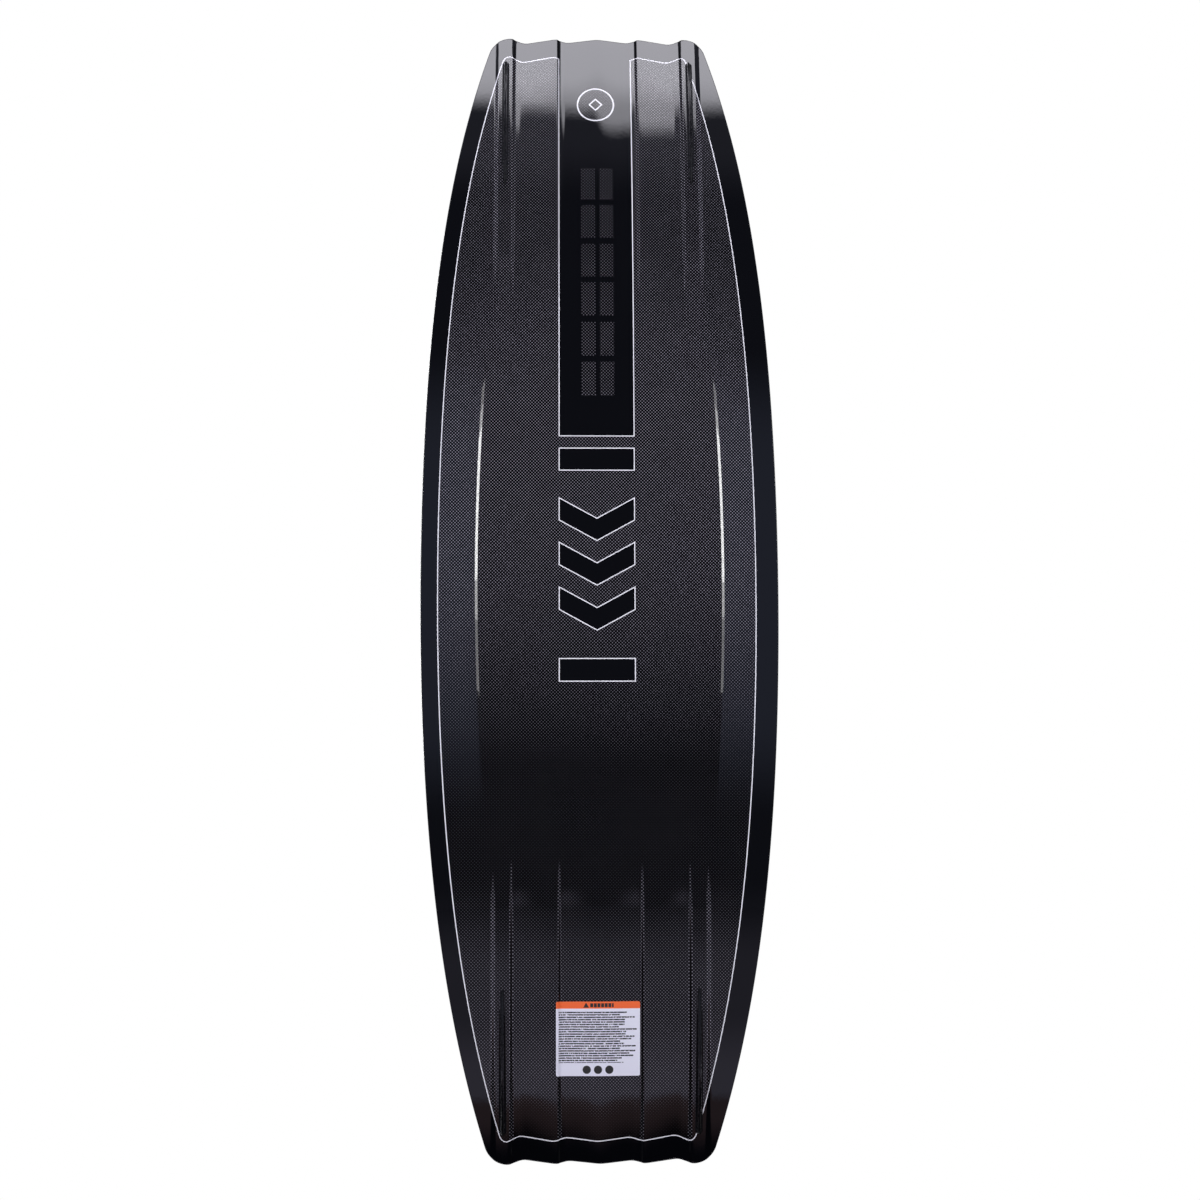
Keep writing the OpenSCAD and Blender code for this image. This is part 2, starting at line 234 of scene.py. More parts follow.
def plan(inset):
    """x and y of every crossing of a station and a line, the outermost ones inset mm inside
    the outline. Lines beyond SQUEEZE_FROM draw in round the corners."""
    x = STATION_X
    crease = crease_y(x)[:, None]
    outline = np.where(
        x <= CORNER_FROM + 1e-6,
        side_w(x) - inset * np.cos(STATION_ANGLE),
        CORNER_Y + (CORNER_R - inset) * np.cos(STATION_ANGLE),
    )[:, None]
    virtual = np.maximum(side_w(x)[:, None] - inset, crease + LEAST_BEVEL)
    fixed = np.repeat(INNER_Y[None, :], len(x), axis=0)
    first = crease + CREASE_OFFSETS[0]
    gap = fixed[:, -1:] + (first - fixed[:, -1:]) * GAP_STEPS[None, :]
    near = crease + CREASE_OFFSETS[None, :]
    last = crease + CREASE_OFFSETS[-1]
    outer = last + (virtual - last) * OUTER_STEPS[None, :]
    y = np.concatenate([fixed, gap, near, outer], axis=1)
    squeeze = (outline - SQUEEZE_FROM) / (virtual - SQUEEZE_FROM)
    y = np.where(y > SQUEEZE_FROM, SQUEEZE_FROM + (y - SQUEEZE_FROM) * squeeze, y)
    px = np.repeat((x - inset * np.sin(STATION_ANGLE))[:, None], y.shape[1], axis=1)
    # mirrored to the other side, then to the other end
    y = np.concatenate([-y[:, :0:-1], y], axis=1)
    px = np.concatenate([px[:, :0:-1], px], axis=1)
    return np.concatenate([-px[:0:-1], px]), np.concatenate([y[:0:-1], y])


def set_back(x, y):
    """x with the ends' waves, which follow the channels."""
    wave = np.interp(np.abs(y), *SETBACK_TABLE)
    return x - np.sign(x) * smooth(np.abs(x), SETBACK_START, HALF_L) * wave


# ---------- meshes and objects
def new_object(name, verts_mm, faces, material, node_name, smooth_angle=40.0):
    """A piece that rides the board and stands for one CAD node."""
    mesh = bpy.data.meshes.new(name)
    mesh.from_pydata((np.asarray(verts_mm) * METRES).tolist(), [], [list(f) for f in faces])
    mesh.validate()
    mesh.update()
    obj = bpy.data.objects.new(name, mesh)
    bpy.context.scene.collection.objects.link(obj)
    mesh.materials.append(material)
    mesh.shade_smooth()
    mesh.set_sharp_from_angle(angle=math.radians(smooth_angle))
    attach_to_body(obj, "root")
    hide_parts(node_name)
    return obj


def add_attribute(obj, name, values):
    attribute = obj.data.attributes.new(name, "FLOAT", "POINT")
    attribute.data.foreach_set("value", np.ascontiguousarray(values, np.float32).ravel())


def grid_quads(rows, cols, first=0, flip=False):
    """Faces of a grid whose points run column by column within each row."""
    index = np.arange(rows * cols).reshape(rows, cols) + first
    a, b = index[:-1, :-1].ravel(), index[1:, :-1].ravel()
    c, d = index[1:, 1:].ravel(), index[:-1, 1:].ravel()
    return np.stack([a, d, c, b] if flip else [a, b, c, d], axis=1)


def perimeter(rows, cols):
    """Grid indices round the outside, counter-clockwise seen from above."""
    index = np.arange(rows * cols).reshape(rows, cols)
    return np.concatenate([index[:-1, 0], index[-1, :-1], index[:0:-1, -1], index[0, :0:-1]])


def loop_quads(lower, upper):
    """Faces between two closed loops of the same length, facing out of a loop that runs
    counter-clockwise seen from above."""
    lower_next, upper_next = np.roll(lower, -1), np.roll(upper, -1)
    return np.stack([lower, lower_next, upper_next, upper], axis=1)


# ---------- shader arithmetic
class Num:
    """A number that shader nodes work out. Arithmetic on it adds math nodes to its tree."""

    def __init__(self, tree, socket):
        self.tree, self.socket = tree, socket

    @staticmethod
    def combine(tree, operation, *values):
        node = tree.nodes.new("ShaderNodeMath")
        node.operation = operation
        for socket, value in zip(node.inputs, values):
            if isinstance(value, Num):
                tree.links.new(value.socket, socket)
            else:
                socket.default_value = value
        return Num(tree, node.outputs[0])

    def do(self, operation, *values):
        return Num.combine(self.tree, operation, self, *values)

    def __add__(self, other):
        return self.do("ADD", other)

    __radd__ = __add__

    def __sub__(self, other):
        return self.do("SUBTRACT", other)

    def __rsub__(self, other):
        return Num.combine(self.tree, "SUBTRACT", other, self)

    def __mul__(self, other):
        return self.do("MULTIPLY", other)

    __rmul__ = __mul__

    def __truediv__(self, other):
        return self.do("DIVIDE", other)

    def __gt__(self, other):
        return self.do("GREATER_THAN", other)

    def __lt__(self, other):
        return self.do("LESS_THAN", other)

    def abs(self):
        return self.do("ABSOLUTE")

    def low(self, other):
        return self.do("MINIMUM", other)

    def high(self, other):
        return self.do("MAXIMUM", other)

    def ramp(self, start, end):
        """0 before start, 1 after end, smooth between them."""
        node = self.tree.nodes.new("ShaderNodeMapRange")
        node.interpolation_type = "SMOOTHSTEP"
        self.tree.links.new(self.socket, node.inputs["Value"])
        node.inputs["From Min"].default_value = min(start, end)
        node.inputs["From Max"].default_value = max(start, end)
        node.inputs["To Min"].default_value = 0.0 if end > start else 1.0
        node.inputs["To Max"].default_value = 1.0 if end > start else 0.0
        return Num(self.tree, node.outputs["Result"])

    def between(self, rise_from, rise_to, fall_from, fall_to):
        return self.ramp(rise_from, rise_to) * (1 - self.ramp(fall_from, fall_to))


def attach(tree, value, socket):
    if isinstance(value, Num):
        tree.links.new(value.socket, socket)
    elif isinstance(value, bpy.types.NodeSocket):
        tree.links.new(value, socket)
    else:
        socket.default_value = value


def vector(tree, x, y, z):
    node = tree.nodes.new("ShaderNodeCombineXYZ")
    for socket, value in zip(node.inputs, (x, y, z)):
        attach(tree, value, socket)
    return node.outputs[0]


def vector_math(tree, operation, *values):
    node = tree.nodes.new("ShaderNodeVectorMath")
    node.operation = operation
    for socket, value in zip(node.inputs, values):
        attach(tree, value, socket)
    return node.outputs[0]


def scaled_color(tree, strength, color):
    return vector(tree, *(strength * c for c in color))


def blend_colors(tree, factor, first, second):
    node = tree.nodes.new("ShaderNodeMix")
    node.data_type = "RGBA"
    attach(tree, factor, node.inputs["Factor"])
    sockets = [s for s in node.inputs if s.type == "RGBA"]
    attach(tree, first, sockets[0])
    attach(tree, second, sockets[1])
    return next(s for s in node.outputs if s.type == "RGBA")


def mix_numbers(first, second, factor):
    return (1 - factor) * first + factor * second


def grey(level):
    return (level, level, level, 1.0)


class Finish:
    """A principled material and the inputs that procedural detail is built from."""

    def __init__(self, name):
        self.material = bpy.data.materials.new(name)
        self.material.use_nodes = True
        self.tree = self.material.node_tree
        self.bsdf = self.tree.nodes["Principled BSDF"]
        coords = self.tree.nodes.new("ShaderNodeTexCoord")
        split = self.tree.nodes.new("ShaderNodeSeparateXYZ")
        self.tree.links.new(coords.outputs["Object"], split.inputs[0])
        self.x, self.y, self.z = (Num(self.tree, s) * MM_PER_METRE for s in split.outputs)

    def set(self, **values):
        for name, value in values.items():
            attach(self.tree, value, self.bsdf.inputs[name.replace("_", " ")])

    def attribute(self, name):
        node = self.tree.nodes.new("ShaderNodeAttribute")
        node.attribute_name = name
        return Num(self.tree, node.outputs["Fac"])

    def noise(self, size_mm, stretch=(1, 1, 1), detail=3.0):
        """Noise about size_mm across, between 0 and 1, longer where stretch is more than 1."""
        node = self.tree.nodes.new("ShaderNodeTexNoise")
        node.inputs["Scale"].default_value = 1.0
        node.inputs["Detail"].default_value = detail
        scaled = [a / (size_mm * s) for a, s in zip((self.x, self.y, self.z), stretch)]
        self.tree.links.new(vector(self.tree, *scaled), node.inputs["Vector"])
        return Num(self.tree, node.outputs["Fac"])

    def cells(self, size_mm):
        """Distance to the nearest of scattered points about size_mm apart."""
        node = self.tree.nodes.new("ShaderNodeTexVoronoi")
        node.inputs["Scale"].default_value = 1.0
        scaled = [a / size_mm for a in (self.x, self.y, self.z)]
        self.tree.links.new(vector(self.tree, *scaled), node.inputs["Vector"])
        return Num(self.tree, node.outputs["Distance"])

    def tint(self, strength, color):
        return scaled_color(self.tree, strength, color)

    def blend(self, factor, first, second):
        return blend_colors(self.tree, factor, first, second)

    def bump(self, height, depth_mm, socket="Normal"):
        """Fine relief, depth_mm deep between a height of 0 and 1."""
        node = self.tree.nodes.new("ShaderNodeBump")
        node.inputs["Distance"].default_value = depth_mm * METRES
        node.inputs["Strength"].default_value = 1.0
        self.tree.links.new(height.socket, node.inputs["Height"])
        self.tree.links.new(node.outputs[0], self.bsdf.inputs[socket])

    def tilted(self, tilt_x, tilt_y):
        """The surface's normal leant over by these slopes along X and Y."""
        geometry = self.tree.nodes.new("ShaderNodeNewGeometry")
        lean = vector(self.tree, tilt_x, tilt_y, 0.0)
        normal = vector_math(self.tree, "ADD", geometry.outputs["Normal"], lean)
        return vector_math(self.tree, "NORMALIZE", normal)


# Pitch of the tows in mm, the power that narrows the painted highlight on their tops, and how
# far their surface leans at the edges, across and along a tow
TOW = 2.032
TOW_POWER = 2.0
TOW_CROWN = 0.37
TOW_WAVE = 0.08


def plain_weave(finish):
    """Which tow is on top (0 or 1), how near the top of its arch a point is, and its slopes."""
    u, v = finish.x / TOW, finish.y / TOW
    over = ((u.do("FLOOR") + v.do("FLOOR")) * 0.5).do("FRACT") > 0.25
    u, v = u.do("FRACT") * math.pi, v.do("FRACT") * math.pi
    crown = (u.do("SINE") * v.do("SINE")).do("POWER", TOW_POWER)
    tilt_x = u.do("COSINE") * mix_numbers(TOW_CROWN, TOW_WAVE, over)
    tilt_y = v.do("COSINE") * mix_numbers(TOW_WAVE, TOW_CROWN, over)
    return over, crown, tilt_x, tilt_y


# ---------- printed graphics, in mm
LINE_HALF = 0.64
# The base's print sits this far to the right of the centreline
PRINT_SHIFT = 3.5
# The pinline: inset from the sides, distance from mid-length, waves and corner radius
PIN_INSET = 25.0
PIN_END = 692.0
PIN_WAVE = 1.3
PIN_CORNER = 7.0
# The gloss stripe, and the mark of two bars and three chevrons behind it
STRIPE_HALF, STRIPE_FROM = 46.9, 173.5
MARK_FROM, MARK_TO, MARK_BAR = 158.0, -134.0, 28.0
CHEVRONS, CHEVRON_PITCH, CHEVRON_SLOPE = 3, 56.0, 0.55
# Faint blocks on the stripe, in pairs either side of a slot, and how far the weave shows there
FAINT_SHARE = 0.8
BLOCKS_FROM, BLOCKS_TO, BLOCK_PITCH, BLOCK_GAP = 225.0, 529.0, 52.0, 8.0
BLOCK_Y, BLOCK_HALF, BLOCK_SLOT = -1.5, 20.5, 2.8
# The ring near the tip, and the diamond in it
EMBLEM_X, EMBLEM_Y, EMBLEM_R, EMBLEM_LINE = 620.6, -2.8, 24.3, 1.9
DIAMOND_R, DIAMOND_LINE = 8.0, 1.6


def pin_distance(x, y, shift):
    """Distance inside the pinline, capped at its corner radius."""
    y = y + shift
    slope = np.arctan(side_slope(x))
    side = (side_w(x) - np.abs(y)) * np.cos(slope) - PIN_INSET
    end = PIN_END - PIN_WAVE * np.interp(np.abs(y), *SETBACK_TABLE) - np.abs(x)
    reach = np.hypot(np.maximum(PIN_CORNER - side, 0), np.maximum(PIN_CORNER - end, 0))
    return PIN_CORNER - reach


def base_graphics(finish):
    """How far the weave shows, and where the white lines run."""
    x, y = finish.x, finish.y
    across = (y + PRINT_SHIFT).abs()
    stripe = (across - STRIPE_HALF).high(STRIPE_FROM - x)
    middle = (MARK_FROM + MARK_TO) / 2
    bar_at = (x - middle).abs() - ((MARK_FROM - MARK_TO) / 2 - MARK_BAR / 2)
    mark = MARK_BAR / 2 - bar_at.abs()
    lean = x - across * CHEVRON_SLOPE - middle + STRIPE_HALF * CHEVRON_SLOPE / 2
    for i in range(CHEVRONS):
        centre = (i - (CHEVRONS - 1) / 2) * CHEVRON_PITCH
        arrow = (MARK_BAR / 2 - (lean - centre).abs()) / math.hypot(1, CHEVRON_SLOPE)
        mark = mark.high(arrow)
    mark = mark.low(STRIPE_HALF - across)
    panel = finish.attribute("pin").low(stripe).low(mark * -1)
    step = ((x - BLOCKS_FROM) / BLOCK_PITCH).do("FRACT") * BLOCK_PITCH
    from_middle = (y - BLOCK_Y).abs()
    blocks = ((BLOCK_PITCH - BLOCK_GAP) - step).low(BLOCK_HALF - from_middle)
    blocks = blocks.low(from_middle - BLOCK_SLOT)
    blocks = blocks.low(x - BLOCKS_FROM).low(BLOCKS_TO - x)
    ex, ey = x - EMBLEM_X, y - EMBLEM_Y
    radius = (ex * ex + ey * ey).do("SQRT")
    ring = EMBLEM_LINE / 2 - (radius - EMBLEM_R + EMBLEM_LINE / 2).abs()
    diamond = DIAMOND_LINE / 2 - (ex.abs() + ey.abs() - DIAMOND_R).abs() / math.sqrt(2)
    faint = blocks.high(EMBLEM_R - EMBLEM_LINE - radius)
    white = (LINE_HALF - panel.abs()).high(ring).high(diamond)
    return (panel > 0).high((faint > 0) * FAINT_SHARE), white > 0


# ---------- materials
GLOSS_BLACK = (0.0022, 0.0024, 0.0036, 1.0)
LINE_WHITE = (0.94, 0.94, 0.98, 1.0)
# Painted highlight on the cloth's tows, and the share of it in the tows that run the other way
TOW_HIGHLIGHT = 0.36
WARP_SHARE = 0.02
CLOTH_TINT = (1.0, 0.96, 1.12)
# Painted sheen that the cloth always has, and that it has where the view reflects upwards
LEAST_PAINTED_SHEEN, PAINTED_SHEEN_ABOVE = 0.13, 0.5
TO_DEGREES = 180 / math.pi


def painted_fibre_sheen(finish):
    """Painted sheen in the cloth's colour, standing in for the light it sends back, by where the
    view reflects to. alpha is in degrees from straight down towards the tip."""
    coords = finish.tree.nodes.new("ShaderNodeTexCoord")
    split = finish.tree.nodes.new("ShaderNodeSeparateXYZ")
    finish.tree.links.new(coords.outputs["Reflection"], split.inputs[0])
    x, y, z = (Num(finish.tree, s) for s in split.outputs)
    alpha = x.do("ARCTAN2", z * -1) * TO_DEGREES
    # painted sheen: towards the tip, behind the tail, and sideways on the channel walls
    front = alpha.ramp(0.5, 10.0) * 0.9 - alpha.ramp(14.0, 30.0) * 0.42
    behind = alpha.ramp(-8.0, -20.0) * 0.33 - alpha.ramp(-31.5, -36.0) * 0.4
    sideways = y.abs().between(0.3, 0.45, 0.8, 0.97) * 0.7
    return mix_numbers(front + behind + sideways + LEAST_PAINTED_SHEEN, PAINTED_SHEEN_ABOVE, z > 0)


def laminate(finish, show, white):
    """Gloss black, clear over a carbon weave as far as show is 1, with white lines. The weave's
    brightness is painted highlight and sheen.
    """
    over, crown, tilt_x, tilt_y = plain_weave(finish)
    # Cloth colour: painted highlight on tow tops and painted sheen; patchy is random tone
    patchy = finish.noise(26.0) * 0.3 + 0.85
    shade = crown * patchy * mix_numbers(1.0, WARP_SHARE, over)
    cloth_tone_and_sheen = shade * show * painted_fibre_sheen(finish) * TOW_HIGHLIGHT
    cloth_color = finish.tint(cloth_tone_and_sheen, CLOTH_TINT)
    tone = finish.blend(show, GLOSS_BLACK, cloth_color)
    tone = finish.blend(white, tone, LINE_WHITE)
    fibres = show * (1 - white)
    normal = finish.tilted(tilt_x * fibres, tilt_y * fibres)
    rough = finish.noise(9.0) * 0.1 + 0.4
    finish.set(Base_Color=tone, Roughness=rough, Normal=normal, Specular_IOR_Level=0.0)
    smear = finish.noise(14.0) * 0.02 + 0.012
    finish.set(Coat_Weight=1.0, Coat_Roughness=smear, Coat_IOR=1.5)
    orange_peel = finish.noise(5.0, detail=1.0)
    finish.bump(orange_peel, 0.012, "Coat Normal")


def base_skin_finish():
    finish = Finish("base_gloss")
    laminate(finish, *base_graphics(finish))
    return finish.material


# White ticks beside the inserts: distance from the centreline, half-length, half-width
TICK_Y, TICK_HALF, TICK_LINE = 95.0, 5.0, 0.5
STANCE, INSERT_PITCH, INSERT_GAUGE, INSERT_ROWS = 584.2, 25.4, 152.4, 6


def deck_skin_finish():
    finish = Finish("deck_gloss")
    pin = finish.attribute("pin")
    from_group = finish.x.abs() - STANCE / 2
    row = (from_group / INSERT_PITCH).do("FRACT") - 0.5
    group = INSERT_ROWS * INSERT_PITCH / 2 - from_group.abs()
    tick = TICK_LINE - row.abs() * INSERT_PITCH
    tick = tick.low(TICK_HALF - (finish.y.abs() - TICK_Y).abs())
    white = (LINE_HALF - pin.abs()).high(tick.low(group)) > 0
    laminate(finish, pin > 0, white)
    return finish.material


def plastic(name, color, roughness, grain_mm, grain_depth, sheen=0.5, coat_weight=0.0):
    """Moulded plastic or hard foam: patchy in tone, with a fine grain."""
    finish = Finish(name)
    patch = finish.noise(grain_mm * 12) * 0.5 + 0.75
    tone = finish.tint(patch, color)
    rough = finish.noise(grain_mm * 3) * 0.12 + (roughness - 0.06)
    finish.set(Base_Color=tone, Roughness=rough, Specular_IOR_Level=sheen)
    finish.set(Coat_Weight=coat_weight, Coat_Roughness=0.05)
    finish.bump(finish.noise(grain_mm), grain_depth)
    return finish.material


def steel():
    """Turned stainless steel."""
    finish = Finish("insert_steel")
    streak = finish.noise(0.25, stretch=(1, 1, 6))
    tone = finish.noise(4.0) * 0.2 + 0.55
    finish.set(
        Base_Color=finish.tint(tone, (1.0, 1.0, 0.98)),
        Metallic=1.0,
        Roughness=streak * 0.2 + 0.2,
    )
    finish.bump(streak, 0.02)
    return finish.material


def foam():
    """Pale closed-cell foam."""
    finish = Finish("core_foam")
    shade = finish.noise(30.0) * 0.12 + 0.86
    tone = finish.tint(shade, (0.86, 0.8, 0.66))
    finish.set(Base_Color=tone, Roughness=0.85)
    finish.bump(finish.cells(0.7), 0.25)
    return finish.material


# Brightness of the tows of a ply that run the other way
CLOTH_WARP_SHARE = 0.7


def cloth(name, color):
    """A dry-looking woven ply."""
    finish = Finish(name)
    over, crown, tilt_x, tilt_y = plain_weave(finish)
    shade = (crown * 0.5 + 0.5) * mix_numbers(1.0, CLOTH_WARP_SHARE, over)
    tone = finish.tint(shade, color)
    finish.set(Base_Color=tone, Roughness=0.4, Normal=finish.tilted(tilt_x, tilt_y))
    return finish.material


LABEL_X, LABEL_Y, LABEL_L, LABEL_W = -567.0, -3.6, 90.0, 102.0
HEADER_L, LABEL_MARGIN = 8.4, 3.2
# Rules: pitch, half their thickness as a share of it, space below the header, where they end,
# and the most that one of them falls short
RULE_PITCH, RULE_HALF, RULE_GAP, RULES_TO, RULE_SHORT = 2.9, 0.29, 3.0, 74.0, 26.0
# Three plain dots below them
DOT_DOWN, DOT_PITCH, DOT_R = 82.3, 13.7, 5.0
# In the header, a plain triangle and a row of blocks
SIGN_DOWN, SIGN_SHIFT = 4.4, 14.5
TRIANGLE_HALF, TRIANGLE_SPREAD, TRIANGLE_SIDE, TRIANGLE_LEAN = 2.8, 2.7, 1.4, 0.79
BAR_FROM, BAR_L, BAR_HALF, BAR_PITCH, BAR_BLOCK = 5.0, 28.5, 2.4, 4.4, 3.6
LABEL_PAPER = (0.88, 0.88, 0.99, 1.0)
LABEL_ORANGE = (1.0, 0.165, 0.04, 1.0)
RULE_GREY, LABEL_BLACK = 0.02, 0.03
# Scrambles a row's number into a length for its rule
SCRAMBLE_STEP, SCRAMBLE_SIZE = 12.9898, 4373.5


def label_rules(finish, down, across):
    """More than 0 on the rules, which are broken up and of ragged lengths."""
    row = down / RULE_PITCH
    ragged = (row.do("FLOOR") * SCRAMBLE_STEP).do("SINE") * SCRAMBLE_SIZE
    length = LABEL_W - LABEL_MARGIN * 2 - ragged.do("FRACT").abs() * RULE_SHORT
    written = length - (across + LABEL_W / 2 - LABEL_MARGIN)
    side = LABEL_W / 2 - LABEL_MARGIN - across.abs()
    broken = finish.noise(1.1, stretch=(3, 1, 1), detail=1.0) - 0.38
    rules = (RULE_HALF - (row.do("FRACT") - 0.5).abs()).low(broken * 4)
    return rules.low(written).low(side).low(down - HEADER_L - RULE_GAP).low(RULES_TO - down)


def label_dots(down, across):
    """More than 0 on the dots."""
    dots = None
    for place in (-DOT_PITCH, 0.0, DOT_PITCH):
        dx, dy = down - DOT_DOWN, across - place
        dot = DOT_R - (dx * dx + dy * dy).do("SQRT")
        dots = dot if dots is None else dots.high(dot)
    return dots


def label_sign(down, across):
    """More than 0 on the triangle and the blocks."""
    lower, beside = down - SIGN_DOWN, across + SIGN_SHIFT
    triangle = TRIANGLE_SPREAD - beside.abs() * TRIANGLE_SIDE + lower * TRIANGLE_LEAN
    triangle = triangle.low(TRIANGLE_HALF - lower.abs())
    along = beside - BAR_FROM
    block = (along / BAR_PITCH).do("FRACT") * BAR_PITCH
    bar = (BAR_HALF - lower.abs()).low(BAR_BLOCK - block).low(along).low(BAR_L - along)
    return triangle.high(bar)


def label_finish():
    """A printed sticker with plain shapes in place of wording."""
    finish = Finish("label_print")
    down = LABEL_X + LABEL_L / 2 - finish.x
    across = finish.y - LABEL_Y
    rules, dots = label_rules(finish, down, across), label_dots(down, across)
    tone = finish.blend(rules > 0, LABEL_PAPER, grey(RULE_GREY))
    tone = finish.blend(dots > 0, tone, grey(LABEL_BLACK))
    tone = finish.blend(down < HEADER_L, tone, LABEL_ORANGE)
    tone = finish.blend(label_sign(down, across) > 0, tone, grey(LABEL_BLACK))
    wear = finish.noise(18.0) * 0.12 + 0.3
    finish.set(Base_Color=tone, Roughness=wear, Specular_IOR_Level=0.4)
    finish.bump(finish.noise(2.0), 0.01)
    return finish.material


# ---------- the outer sheets
# How far inside the outline the sheets stop, their thickness, and the plies behind them
EDGE_BASE, EDGE_DECK = 1.0, 2.0
SKIN_T = 1.15
PLY_INSET, PLY_GAP, PLY_T = 7.2, 0.05, 0.9
ROWS, COLS = plan(0.0)[0].shape


def grid_points(inset, height):
    """x, y and z of the grid on one face of the board; height is base_z or deck_z."""
    x, y = plan(inset)
    return set_back(x, y), y, height(x, y)


def stack(*grids):
    return np.concatenate([np.stack([g.ravel() for g in grid], axis=1) for grid in grids])


def closed_sheet(low, high):
    """Verts and faces of a sheet between two grids of points."""
    rows, cols = low[0].shape
    rim = perimeter(rows, cols)
    faces = [
        grid_quads(rows, cols, flip=True),
        grid_quads(rows, cols, first=rows * cols),
        loop_quads(rim, rim + rows * cols),
    ]
    return stack(low, high), np.concatenate(faces)


def base_skin(material):
    x, y, z = grid_points(EDGE_BASE, base_z)
    verts, faces = closed_sheet((x, y, z), (x, y, z + SKIN_T))
    skin = new_object("base_skin", verts, faces, material, "base_sheet")
    pin = pin_distance(x, y, PRINT_SHIFT).ravel()
    add_attribute(skin, "pin", np.concatenate([pin, pin]))


FLANGE_R, POCKET_GAP, HOLE_SIDES = 9.0, 0.1, 48
# Least width of sheet between a hole and the edge of its patch of the grid
HOLE_MARGIN = 1.2


def insert_places(end):
    rows = (np.arange(INSERT_ROWS) - (INSERT_ROWS - 1) / 2) * INSERT_PITCH
    return [(end * STANCE / 2 + r, side * INSERT_GAUGE / 2) for r in rows for side in (-1, 1)]


def zipper(points, outer, inner, centre):
    """Triangles between two loops of point indices round a centre, counter-clockwise."""
    def turn(i):
        return math.atan2(points[i][1] - centre[1], points[i][0] - centre[0])

    outer, inner = sorted(outer, key=turn), sorted(inner, key=turn)
    a, b, faces = 0, 0, []
    while a < len(outer) or b < len(inner):
        here, there = outer[a % len(outer)], inner[b % len(inner)]
        next_a = turn(outer[a]) if a < len(outer) else math.inf
        next_b = turn(inner[b]) if b < len(inner) else math.inf
        if next_a <= next_b:
            faces.append((outer[a - 1], here, inner[b - 1]))
            a += 1
        else:
            faces.append((outer[a - 1], there, inner[b - 1]))
            b += 1
    return faces


def holed_sheet(inset, top_drop, thickness):
    """Verts and faces of a layer of the deck, with a round hole for every insert."""
    x, y, z = grid_points(inset, deck_z)
    points = np.stack([x.ravel(), y.ravel(), z.ravel()], axis=1)
    keep = np.ones((ROWS - 1, COLS - 1), bool)
    radius = FLANGE_R + POCKET_GAP
    extra, patches = [], []
    index = np.arange(ROWS * COLS).reshape(ROWS, COLS)
    for cx, cy in insert_places(1) + insert_places(-1):
        reach = radius + HOLE_MARGIN
        near = (np.abs(x - cx) < reach) & (np.abs(y - cy) < reach)
        rows, cols = np.where(near)
        i0, i1, j0, j1 = rows.min() - 1, rows.max() + 1, cols.min() - 1, cols.max() + 1
        keep[i0:i1, j0:j1] = False
        patch = index[i0 : i1 + 1, j0 : j1 + 1]
        outer = patch.ravel()[perimeter(*patch.shape)]
        angles = np.linspace(0, 2 * math.pi, HOLE_SIDES, endpoint=False)
        hx, hy = cx + radius * np.cos(angles), cy + radius * np.sin(angles)
        first = len(points) + len(extra)
        extra.extend(np.stack([hx, hy, deck_z(hx, hy)], axis=1))
        patches.append((outer.tolist(), list(range(first, first + HOLE_SIDES)), (cx, cy)))
    points = np.concatenate([points, np.array(extra)])
    faces = [tuple(f) for f in grid_quads(ROWS, COLS)[keep.ravel()]]
    walls = [loop_quads(perimeter(ROWS, COLS) + len(points), perimeter(ROWS, COLS))]
    for outer, inner, centre in patches:
        faces += zipper(points, outer, inner, centre)
        ring = np.array(inner)
        walls.append(loop_quads(ring, ring + len(points)))
    under = [tuple(v + len(points) for v in reversed(f)) for f in faces]
    verts = np.concatenate([points - [0, 0, top_drop], points - [0, 0, top_drop + thickness]])
    return verts, faces + under + [tuple(f) for f in np.concatenate(walls)]


def deck_skin(material):
    verts, faces = holed_sheet(EDGE_DECK, 0.0, SKIN_T)
    skin = new_object("deck_skin", verts, faces, material, "deck_sheet")
    add_attribute(skin, "pin", pin_distance(verts[:, 0], verts[:, 1], 0.0))


def plies(base_material, deck_material):
    """The cloth layers behind the two outer sheets, inside the rails and end edges."""
    x, y, z = grid_points(PLY_INSET, base_z)
    low = (x, y, z + SKIN_T + PLY_GAP)
    high = (x, y, z + SKIN_T + PLY_GAP + PLY_T)
    verts, faces = closed_sheet(low, high)
    new_object("base_cloth_ply", verts, faces, base_material, "base_ply")
    verts, faces = holed_sheet(PLY_INSET, SKIN_T + PLY_GAP, PLY_T)
    new_object("deck_cloth_ply", verts, faces, deck_material, "deck_ply")


# ---------- rails and end edges
# Round the edge's section, from the base sheet out, up and back in under the deck sheet:
# (inset from the outline, share of the way from base to deck, rise in mm)
EDGE_LEVELS = [
    (EDGE_BASE, 0, 0.14),
    (0.7, 0, 0.03),
    (0.32, 0, 0.16),
    (0.08, 0, 0.5),
    (0, 0, 1.0),
    (0, 0, 1.25),
    (0.22, 0, 1.42),
    (0, 0, 1.6),
    (-0.12, 0.5, 0),
    (0, 1, -2.6),
    (0.12, 1, -1.75),
    (0.45, 1, -0.95),
    (1.0, 1, -0.35),
    (1.6, 1, -0.1),
    (EDGE_DECK, 1, -0.16),
    (EDGE_DECK + 0.6, 1, -SKIN_T - 0.4),
    (EDGE_DECK + 5, 1, -SKIN_T - 0.8),
    (EDGE_BASE + 6, 0, SKIN_T + 0.8),
    (EDGE_BASE + 0.6, 0, SKIN_T + 0.4),
]
RAIL_SMOOTH_ANGLE = 55.0


def edge_rings():
    """A ring of points right round the board for each level of the edge."""
    low, high = grid_points(EDGE_BASE, base_z)[2], grid_points(EDGE_DECK, deck_z)[2]
    rim = perimeter(ROWS, COLS)
    rings = []
    for inset, share, rise in EDGE_LEVELS:
        x, y = plan(inset)
        z = low + (high - low) * share + rise
        rings.append(stack((set_back(x, y), y, z))[rim])
    return np.array(rings)


